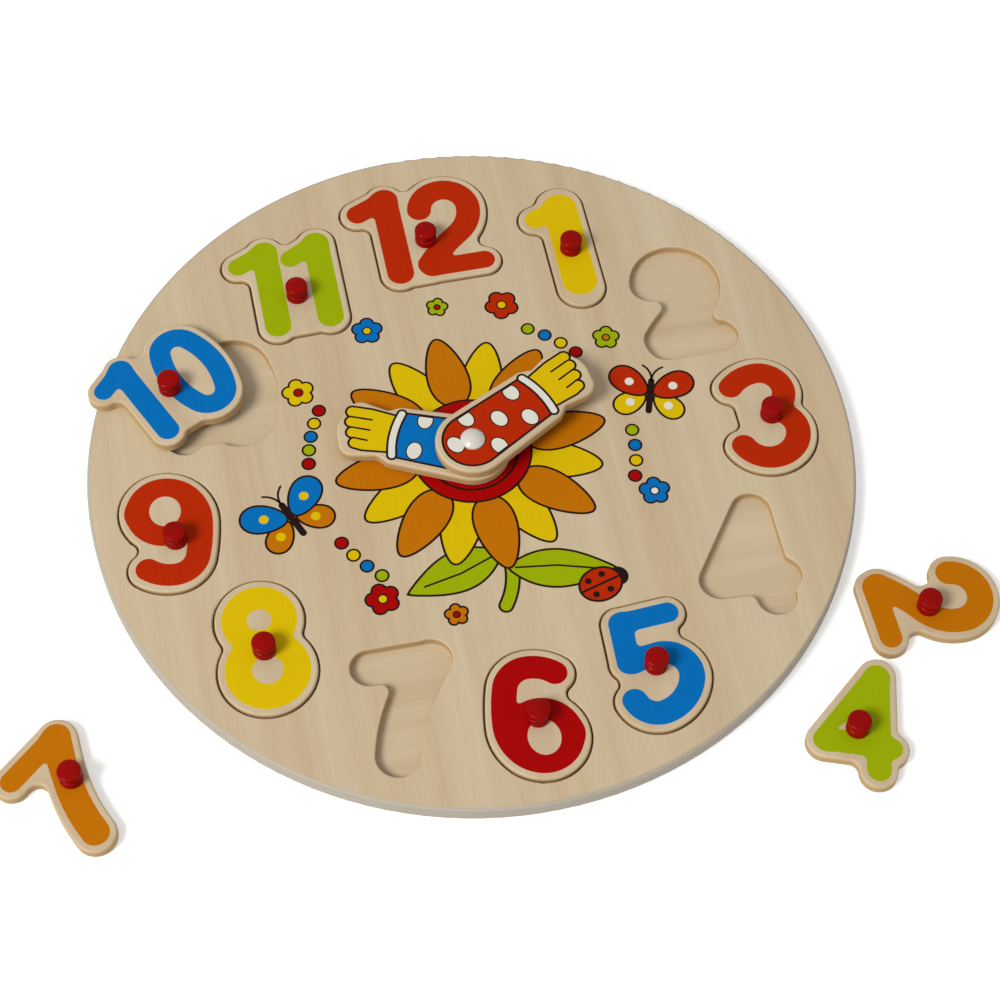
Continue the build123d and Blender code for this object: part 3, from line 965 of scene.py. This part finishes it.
@dataclass
class Hand:
    """A wooden hand: a printed sleeve with white spots, a white cuff and a yellow hand with four fingers."""

    node: str
    base_z: float
    heading: float
    sleeve_length: float
    ink: Ink
    spots: list[Spot]
    fingers: list[Triple]
    root_radius: float = 14.6
    cuff_half_width: float = 13.2
    cuff_corner: float = 4.0
    thickness: float = 5.0
    margin: float = 2.9
    cuff_band: float = 3.5
    finger_width: float = 5.0
    palm_half_width: float = 7.2
    knuckle_reach: float = 8.0
    wrist_round: float = 1.5
    spot_half_size: Spot = (3.3, 4.2)
    spot_line: float = 0.5
    fold_half_width: float = 0.4

    def build(self) -> None:
        """Dresses the wooden hand and lays its prints."""
        wood = VarnishedPlywood(self.node, self.base_z * MM, self.thickness * MM, Vector((0.4, 0.1 * self.base_z, 0)),
                                math.radians(self.heading - 90))
        dress(self.node, wood.material())
        place = Matrix.Rotation(math.radians(self.heading), 4, "Z")
        area = PrintedArea(self.node, self.node, (self.base_z + self.thickness) * MM, place)
        self.palm(area)
        self.sleeve(area)
        middle, half = self.sleeve_length - self.cuff_band, self.cuff_half_width - self.margin - 0.6
        band = pen_points([(middle - 0.4, -half), (middle + 0.9, 0), (middle - 0.4, half)], 75)
        area.lay_outlined(pen_line(band, self.cuff_band / 2), Ink.WHITE, 7)
        area.finish()

    def sleeve(self, area: PrintedArea) -> None:
        """Lays the sleeve, up to the middle of the cuff, and its spots.

        Args:
            area: The surface that takes them.
        """
        corner_x, corner_y = self.sleeve_length - self.cuff_corner, self.cuff_half_width - self.cuff_corner
        whole = hull([(0, 0, self.root_radius), (corner_x, corner_y, self.cuff_corner),
                      (corner_x, -corner_y, self.cuff_corner)])
        end = self.sleeve_length - self.cuff_band
        side = outline(np.array([(-40, -40), (end, -40), (end, 40), (-40, 40)]))
        cloth = whole.grown(-self.margin).within(side)
        area.lay_outlined(cloth, self.ink, 3)
        for spot in self.spots:
            mark = oval(spot, *self.spot_half_size).within(cloth, 0.3)
            area.lay(mark, Ink.BLACK, 5)
            area.lay(mark.grown(-self.spot_line), Ink.WHITE, 6)

    def palm(self, area: PrintedArea) -> None:
        """Lays the palm with its fingers, and the folds between them.

        Args:
            area: The surface that takes them.
        """
        wrist, knuckle = self.sleeve_length - 1.0, self.sleeve_length + self.knuckle_reach
        half, side, corner = self.finger_width / 2, self.palm_half_width, self.wrist_round
        palm = hull([(wrist, side, corner), (wrist, -side, corner), (knuckle, side, half), (knuckle, -side, half)])
        tips = [np.array([(knuckle, start), (self.sleeve_length + reach, end)]) for start, end, reach in self.fingers]
        area.lay_outlined(joined([palm, *(pen_line(tip, half) for tip in tips)]), Ink.YELLOW, 1)
        for one_tip, next_tip in zip(tips, tips[1:]):
            fold = (one_tip + next_tip) / 2 + np.array([(-1.0, 0), (0.4, 0)])
            area.lay(pen_line(fold, self.fold_half_width), Ink.BLACK, 3)


HANDS = [
    Hand("hour_hand", 8.5, 157.5, 34.0, Ink.BLUE,
         [(22.0, 6.0), (20.5, -8.6), (10.5, 0.0), (3.0, 8.6), (-7.5, 1.0), (4.0, -9.0)],
         [(-7.2, -7.0, 15.4), (-2.4, -2.4, 14.8), (2.4, 2.3, 13.4), (7.2, 6.8, 11.4)]),
    Hand("minute_hand", 14.0, 28.0, 37.0, Ink.RED_ORANGE,
         [(25.5, 7.4), (24.0, -6.0), (14.2, 1.0), (4.0, 9.2), (6.4, -8.6), (-6.6, 2.4)],
         [(7.2, 7.0, 15.4), (2.4, 2.6, 14.6), (-2.4, -2.2, 13.2), (-7.2, -6.8, 11.0)]),
]


# ---- centre pin ----


@dataclass
class Hub:
    """The moulded white pin with its domed cap, and the nylon washers between the hands."""

    cap_z: float = 19.1
    cap_radius: float = 4.7
    rim_height: float = 0.8
    height: float = 2.8
    bore_radius: float = 2.53
    bore_depth: float = 1.6

    def build(self) -> None:
        """Makes the smooth cap and dresses the pin and the washers."""
        white = MouldedPlastic("moulded_white_abs", "#d0cdc0", 0.28).material()
        nylon = MouldedPlastic("natural_nylon_washer", "#cfcab9", 0.5).material()
        dress("centre_pin", white)
        dress("lower_spacer", nylon)
        dress("upper_spacer", nylon)
        rise = self.height - self.rim_height
        sphere = (self.cap_radius**2 + rise**2) / (2 * rise)
        first = math.degrees(math.acos(self.cap_radius / sphere))
        bore, depth = self.bore_radius, self.bore_depth
        profile = [(0, depth), (bore, depth), (bore, 0), (self.cap_radius, 0)]
        profile += arc((0, self.height - sphere), sphere, first, 90, 14)
        mesh = turned("domed_cap", profile, Vector((0, 0, self.cap_z * MM)))
        cap = piece_from("domed_cap", [mesh], white, "board")
        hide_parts("hub_cap")


# ---- board and its artwork ----


def blossom(at: Spot, radius: float, turn: float, petals: int = 5) -> Shape:
    """A small flower of round petals.

    Args:
        at: Its middle.
        radius: Its radius in millimetres.
        turn: Direction of its first petal, in degrees.
        petals: How many petals it has.

    Returns:
        The flower's shape.
    """
    middles = [polar(at, radius * 0.56, turn + 360 * k / petals) for k in range(petals)]
    return joined([*(disc(middle, radius * 0.44) for middle in middles), disc(at, radius * 0.4)])


def leaf(at: Spot, length: float, width: float, turn: float) -> Shape:
    """A pointed leaf.

    Args:
        at: Where it starts.
        length: Its length in millimetres.
        width: Its width in millimetres.
        turn: Its direction in degrees.

    Returns:
        The leaf's shape.
    """
    t = np.linspace(0, 1, 28)
    half = width / 2 * np.sin(math.pi * t) ** 0.8 * (1.15 - 0.5 * t)
    upper = np.stack([length * t, half], 1)
    lower = np.stack([length * t[::-1], -half[::-1]], 1)[1:-1]
    return outline(placed(np.vstack([upper, lower]), at, turn))


@dataclass(frozen=True)
class Butterfly:
    """A butterfly seen from above: two pairs of wings, a body and feelers."""

    at: Spot
    turn: float
    scale: float
    upper: Ink
    lower: Ink
    spots: Ink

    def draw(self, area: PrintedArea) -> None:
        """Lays the butterfly's inks.

        Args:
            area: The surface that takes them.
        """
        for side in (-1, 1):
            for centre, size, lean, ink, layer in (((8.0, -5.0), (7.4, 5.0), -38, self.lower, 1),
                                                   ((9.2, 5.2), (9.2, 6.0), 34, self.upper, 3)):
                middle = tuple(placed([(side * centre[0], centre[1])], self.at, self.turn, self.scale)[0])
                angle = self.turn + (lean if side > 0 else 180 - lean)
                wing = oval(middle, size[0] * self.scale, size[1] * self.scale, angle, 0.22)
                area.lay_outlined(wing, ink, layer)
                area.lay(disc(middle, 1.9 * self.scale), self.spots, layer + 2)
        torso = placed([(0, -8.5), (0, 6.5)], self.at, self.turn, self.scale)
        area.lay(pen_line(torso, 1.35 * self.scale), Ink.BLACK, 6)
        for side in (-1, 1):
            feeler = pen_points([(0, 7), (side * 4.2, 14.0)], 90)
            area.lay(pen_line(placed(feeler, self.at, self.turn, self.scale), 0.42), Ink.BLACK, 6)


@dataclass
class Board:
    """The two glued panels, and the garden printed in the middle of the face."""

    top_z: float = 8.0
    panel: float = 4.0
    radius: float = 150.0
    area: PrintedArea = field(init=False)

    def build(self) -> None:
        """Dresses both panels and prints the artwork."""
        grain, sheet, rim = Vector((0.11, 0.05, 0)), self.panel * MM, self.radius * MM
        dress("face_panel", VarnishedPlywood("face", sheet, sheet, grain, rim_radius=rim).material())
        dress("back_panel", VarnishedPlywood("back", 0.0, sheet, grain * 3, math.pi / 2, rim_radius=rim).material())
        self.area = PrintedArea("garden", "board", self.top_z * MM)
        self.sunflower()
        for butterfly in (Butterfly((-74, -14), 24, 1.0, Ink.BLUE, Ink.ORANGE, Ink.YELLOW),
                          Butterfly((75, 14), -18, 0.95, Ink.RED_ORANGE, Ink.YELLOW, Ink.WHITE)):
            butterfly.draw(self.area)
        self.ladybird()
        self.blossoms()
        self.area.finish()
        for name, first, last, count in (("upper_left_beads", 150, 172.4, 5), ("lower_left_beads", 207, 226, 4),
                                         ("right_beads", -20, -1, 4), ("upper_right_beads", 38, 58, 4)):
            BeadArc(name, first, last, count, self.top_z * MM).build()

    def sunflower(self) -> None:
        """Lays a big sunflower with its head round the pin and its stem below it."""
        self.area.lay_outlined(Stroke(2.6, [(-2, -18), (3.5, -42), (-1, -68)], -80).shape(), Ink.LIME, 1)
        for at, length, width, turn in (((2, -45), 40, 19, 196), ((3, -52), 42, 18, -12)):
            self.area.lay_outlined(leaf(at, length, width, turn), Ink.LIME, 3)
            vein = placed([(3.0, 0.0), (length * 0.45, 1.2), (length * 0.82, 0.0)], at, turn)
            self.area.lay(pen_line(vein, 0.4), Ink.BLACK, 5)
        middle, petals = (0, 2), 16
        for k in range(petals):
            angle = 360 * k / petals + 4
            out, ink, layer = (35.0, Ink.YELLOW, 5) if k % 2 else (38.0, Ink.ORANGE, 7)
            self.area.lay_outlined(oval(polar(middle, out, angle), 16.5, 8.0, angle, -0.28), ink, layer)
        self.area.lay_outlined(disc(middle, 23.5), Ink.RED, 9)
        self.area.lay(ring(*middle, 18, 0.45).shape(), Ink.BLACK, 11)

    def ladybird(self) -> None:
        """Lays a ladybird on the right-hand leaf."""
        at, turn = (36.0, -66.0), 16
        self.area.lay(oval((at[0] + 7.6, at[1] + 2.2), 3.6, 4.0, turn), Ink.BLACK, 5)
        self.area.lay_outlined(oval(at, 8.4, 7.0, turn), Ink.RED_ORANGE, 6)
        self.area.lay(pen_line(placed([(-8.2, 0), (8.2, 0)], at, turn), 0.45), Ink.BLACK, 8)
        for spot in placed([(-3.6, 3.2), (2.4, 3.6), (-3.6, -3.2), (2.4, -3.6)], at, turn):
            self.area.lay(disc(tuple(spot), 1.3), Ink.BLACK, 8)

    def blossoms(self) -> None:
        """Lays small flowers between the larger motifs."""
        for at, radius, turn, ink, eye in (
            ((-30, 66), 6.2, 10, Ink.BLUE, Ink.YELLOW), ((26, 68), 6.8, 40, Ink.RED_ORANGE, Ink.YELLOW),
            ((-62, 42), 6.4, 25, Ink.YELLOW, Ink.RED), ((64, 44), 5.4, 5, Ink.LIME, Ink.ORANGE),
            ((-46, -56), 6.6, 30, Ink.RED, Ink.YELLOW), ((66, -30), 6.0, 12, Ink.BLUE, Ink.WHITE),
            ((0, 72), 4.4, 0, Ink.LIME, Ink.RED), ((-20, -68), 4.6, 20, Ink.ORANGE, Ink.RED),
        ):
            self.area.lay_outlined(blossom(at, radius, turn), ink, 1, 0.8)
            self.area.lay_outlined(disc(at, radius * 0.28), eye, 3, 0.6)


@dataclass
class BeadArc:
    """A row of small round beads printed along an arc, in a changing order of inks.

    Made by Geometry Nodes: a flat disc is set out along an arc, one tree run for each ink.
    """

    name: str
    first_angle: float
    last_angle: float
    count: int
    surface: float
    radius: float = 64.0
    bead_radius: float = 2.5
    line: float = 0.8
    film: float = 0.04
    layer_step: float = 0.01
    inks: tuple[Ink, ...] = (Ink.RED, Ink.YELLOW, Ink.BLUE, Ink.LIME)

    def tree(self) -> Tree:
        """Builds the tree that sets discs out along an arc, or gives the one already made.

        Returns:
            The tree.
        """
        name = "beads_along_arc"
        if name in bpy.data.node_groups:
            return bpy.data.node_groups[name]
        tree = bpy.data.node_groups.new(name, "GeometryNodeTree")
        tree.interface.new_socket("Geometry", in_out="OUTPUT", socket_type="NodeSocketGeometry")
        sockets = {"Arc Radius": "Float", "First Angle": "Float", "Sweep": "Float", "Beads": "Int",
                   "Bead Radius": "Float", "Surface": "Float", "Film": "Float", "Ink": "Material"}
        for label, kind in sockets.items():
            tree.interface.new_socket(label, in_out="INPUT", socket_type=f"NodeSocket{kind}")
        given = add_node(tree, "NodeGroupInput").outputs
        sizes = {"Radius": given["Arc Radius"], "Start Angle": given["First Angle"], "Sweep Angle": given["Sweep"]}
        path = add_node(tree, "GeometryNodeCurveArc", {"Resolution": 64, **sizes}).outputs["Curve"]
        spots = add_node(tree, "GeometryNodeCurveToPoints", {"Curve": path, "Count": given["Beads"]}, mode="COUNT")
        sizes = {"Vertices": 40, "Radius": given["Bead Radius"], "Depth": given["Film"]}
        bead = add_node(tree, "GeometryNodeMeshCylinder", sizes, fill_type="NGON").outputs["Mesh"]
        rows = add_node(tree, "GeometryNodeInstanceOnPoints",
                        {"Points": spots.outputs["Points"], "Instance": bead}).outputs[0]
        lift = add_node(tree, "ShaderNodeCombineXYZ", {"Z": given["Surface"]}).outputs[0]
        raised = add_node(tree, "GeometryNodeTransform", {"Geometry": rows, "Translation": lift}).outputs[0]
        solid = add_node(tree, "GeometryNodeRealizeInstances", {"Geometry": raised}).outputs[0]
        inked = add_node(tree, "GeometryNodeSetMaterial", {"Geometry": solid, "Material": given["Ink"]}).outputs[0]
        add_node(tree, "NodeGroupOutput", {"Geometry": inked})
        return tree

    def build(self) -> None:
        """Makes the black rims and the beads in their inks."""
        step = (self.last_angle - self.first_angle) / (self.count - 1)
        inner = self.bead_radius - self.line / 2
        rows = [("black_rims", Ink.BLACK, range(self.count), self.bead_radius + self.line / 2, 1)]
        rows += [(ink.name.lower(), ink, range(k, self.count, len(self.inks)), inner, 2)
                 for k, ink in enumerate(self.inks)]
        for label, ink, places, radius, layer in rows:
            name, film, finish = f"{self.name}_{label}", self.film * MM, ScreenInk(ink).material()
            first, sweep = self.first_angle + places[0] * step, step * places.step * (len(places) - 1)
            values = {"Arc Radius": self.radius * MM, "First Angle": math.radians(first),
                      "Sweep": math.radians(max(sweep, 0.01)), "Beads": len(places), "Bead Radius": radius * MM,
                      "Surface": self.surface + layer * self.layer_step * MM - film / 2, "Film": film, "Ink": finish}
            holder = add_object(name, bpy.data.meshes.new(name))
            modifier = holder.modifiers.new("beads", "NODES")
            modifier.node_group = self.tree()
            for socket in self.tree().interface.items_tree:
                if socket.in_out == "INPUT":
                    modifier[socket.identifier] = values[socket.name]
            piece_from(name, [plain_mesh(holder)], finish, "board")


# ---- studio ----


@dataclass
class Studio:
    """A white sweep, one soft lamp from the front left, an even sky and the camera, in metres."""

    lens: float = 82.8
    camera_at: Triple = (-0.09966, -0.46406, 0.77234)
    right: Triple = (0.9782, -0.2070, 0.0159)
    up: Triple = (0.1701, 0.8428, 0.5107)
    lamp_at: Triple = (-1.9, -1.0, 2.3)
    lamp_size: float = 1.25
    lamp_power: float = 74.0
    sky: float = 0.46
    paper_half: float = 6.0
    paper_drop: float = 0.05 * MM
    glow: float = 0.36
    glow_near: float = 0.4
    glow_far: float = 2.0

    def build(self) -> None:
        """Makes the floor, the lamp, the world and the camera."""
        self.floor()
        self.lamp()
        self.world()
        self.camera()

    def floor(self) -> None:
        """A paper sweep that reads white to the camera and keeps the object's shadow."""
        mesh = bpy.data.meshes.new("paper_sweep")
        half, level = self.paper_half, -self.paper_drop
        corners = [(-half, -half, level), (half, -half, level), (half, half, level), (-half, half, level)]
        mesh.from_pydata(corners, [], [(0, 1, 2, 3)])
        material, tree, shader = shader_tree("white_paper_sweep")
        coords = coords_of(tree)
        strength = ramp(tree, length_of(tree, coords), self.glow_near, self.glow_far, self.glow, 1.0)
        feed(tree, shader, {"Base Color": mixed(tree, noise(tree, coords, 900.0), "#f2f1ef", "#eeedeb"),
                            "Roughness": 0.9, "Emission Color": (1, 1, 1, 1),
                            "Emission Strength": math_node(tree, "MULTIPLY", seen_directly(tree), strength)})
        mesh.materials.append(material)
        add_object("paper_sweep", mesh)

    def lamp(self) -> None:
        """One soft box, front left."""
        light = bpy.data.lights.new("soft_box", "AREA")
        light.shape = "DISK"
        light.size = self.lamp_size
        light.energy = self.lamp_power
        lamp = add_object("soft_box", light)
        lamp.location = self.lamp_at
        lamp.rotation_euler = (-Vector(self.lamp_at)).to_track_quat("-Z", "Y").to_euler()

    def world(self) -> None:
        """An even pale sky that is plain white to the camera and in reflections."""
        world = bpy.data.worlds.new("even_sky")
        world.use_nodes = True
        tree = world.node_tree
        tree.nodes.clear()
        strength = ramp(tree, seen_directly(tree), 0.0, 1.0, self.sky, 1.0)
        sky = add_node(tree, "ShaderNodeBackground", {"Color": (1, 1, 1, 1), "Strength": strength})
        add_node(tree, "ShaderNodeOutputWorld", {"Surface": sky.outputs[0]})
        bpy.context.scene.world = world

    def camera(self) -> None:
        """The camera, high over the front edge of the board."""
        data = bpy.data.cameras.new("camera")
        data.lens, data.sensor_width = self.lens, 36.0
        data.clip_start, data.clip_end = 0.01, 50.0
        camera = add_object("camera", data)
        right, up = Vector(self.right).normalized(), Vector(self.up)
        up = (up - right * up.dot(right)).normalized()
        turn = Matrix((right, up, right.cross(up))).transposed().to_4x4()
        camera.matrix_world = Matrix.Translation(self.camera_at) @ turn
        bpy.context.scene.camera = camera


def main() -> None:
    """Builds every sub-assembly, then the studio."""
    logging.basicConfig(level=logging.INFO, format="%(name)s: %(message)s")
    Board().build()
    for number in NUMBERS:
        number.build()
    for hand in HANDS:
        hand.build()
    Hub().build()
    Studio().build()
    bpy.context.scene.view_settings.view_transform = "Standard"


if __name__ == "__main__":
    main()
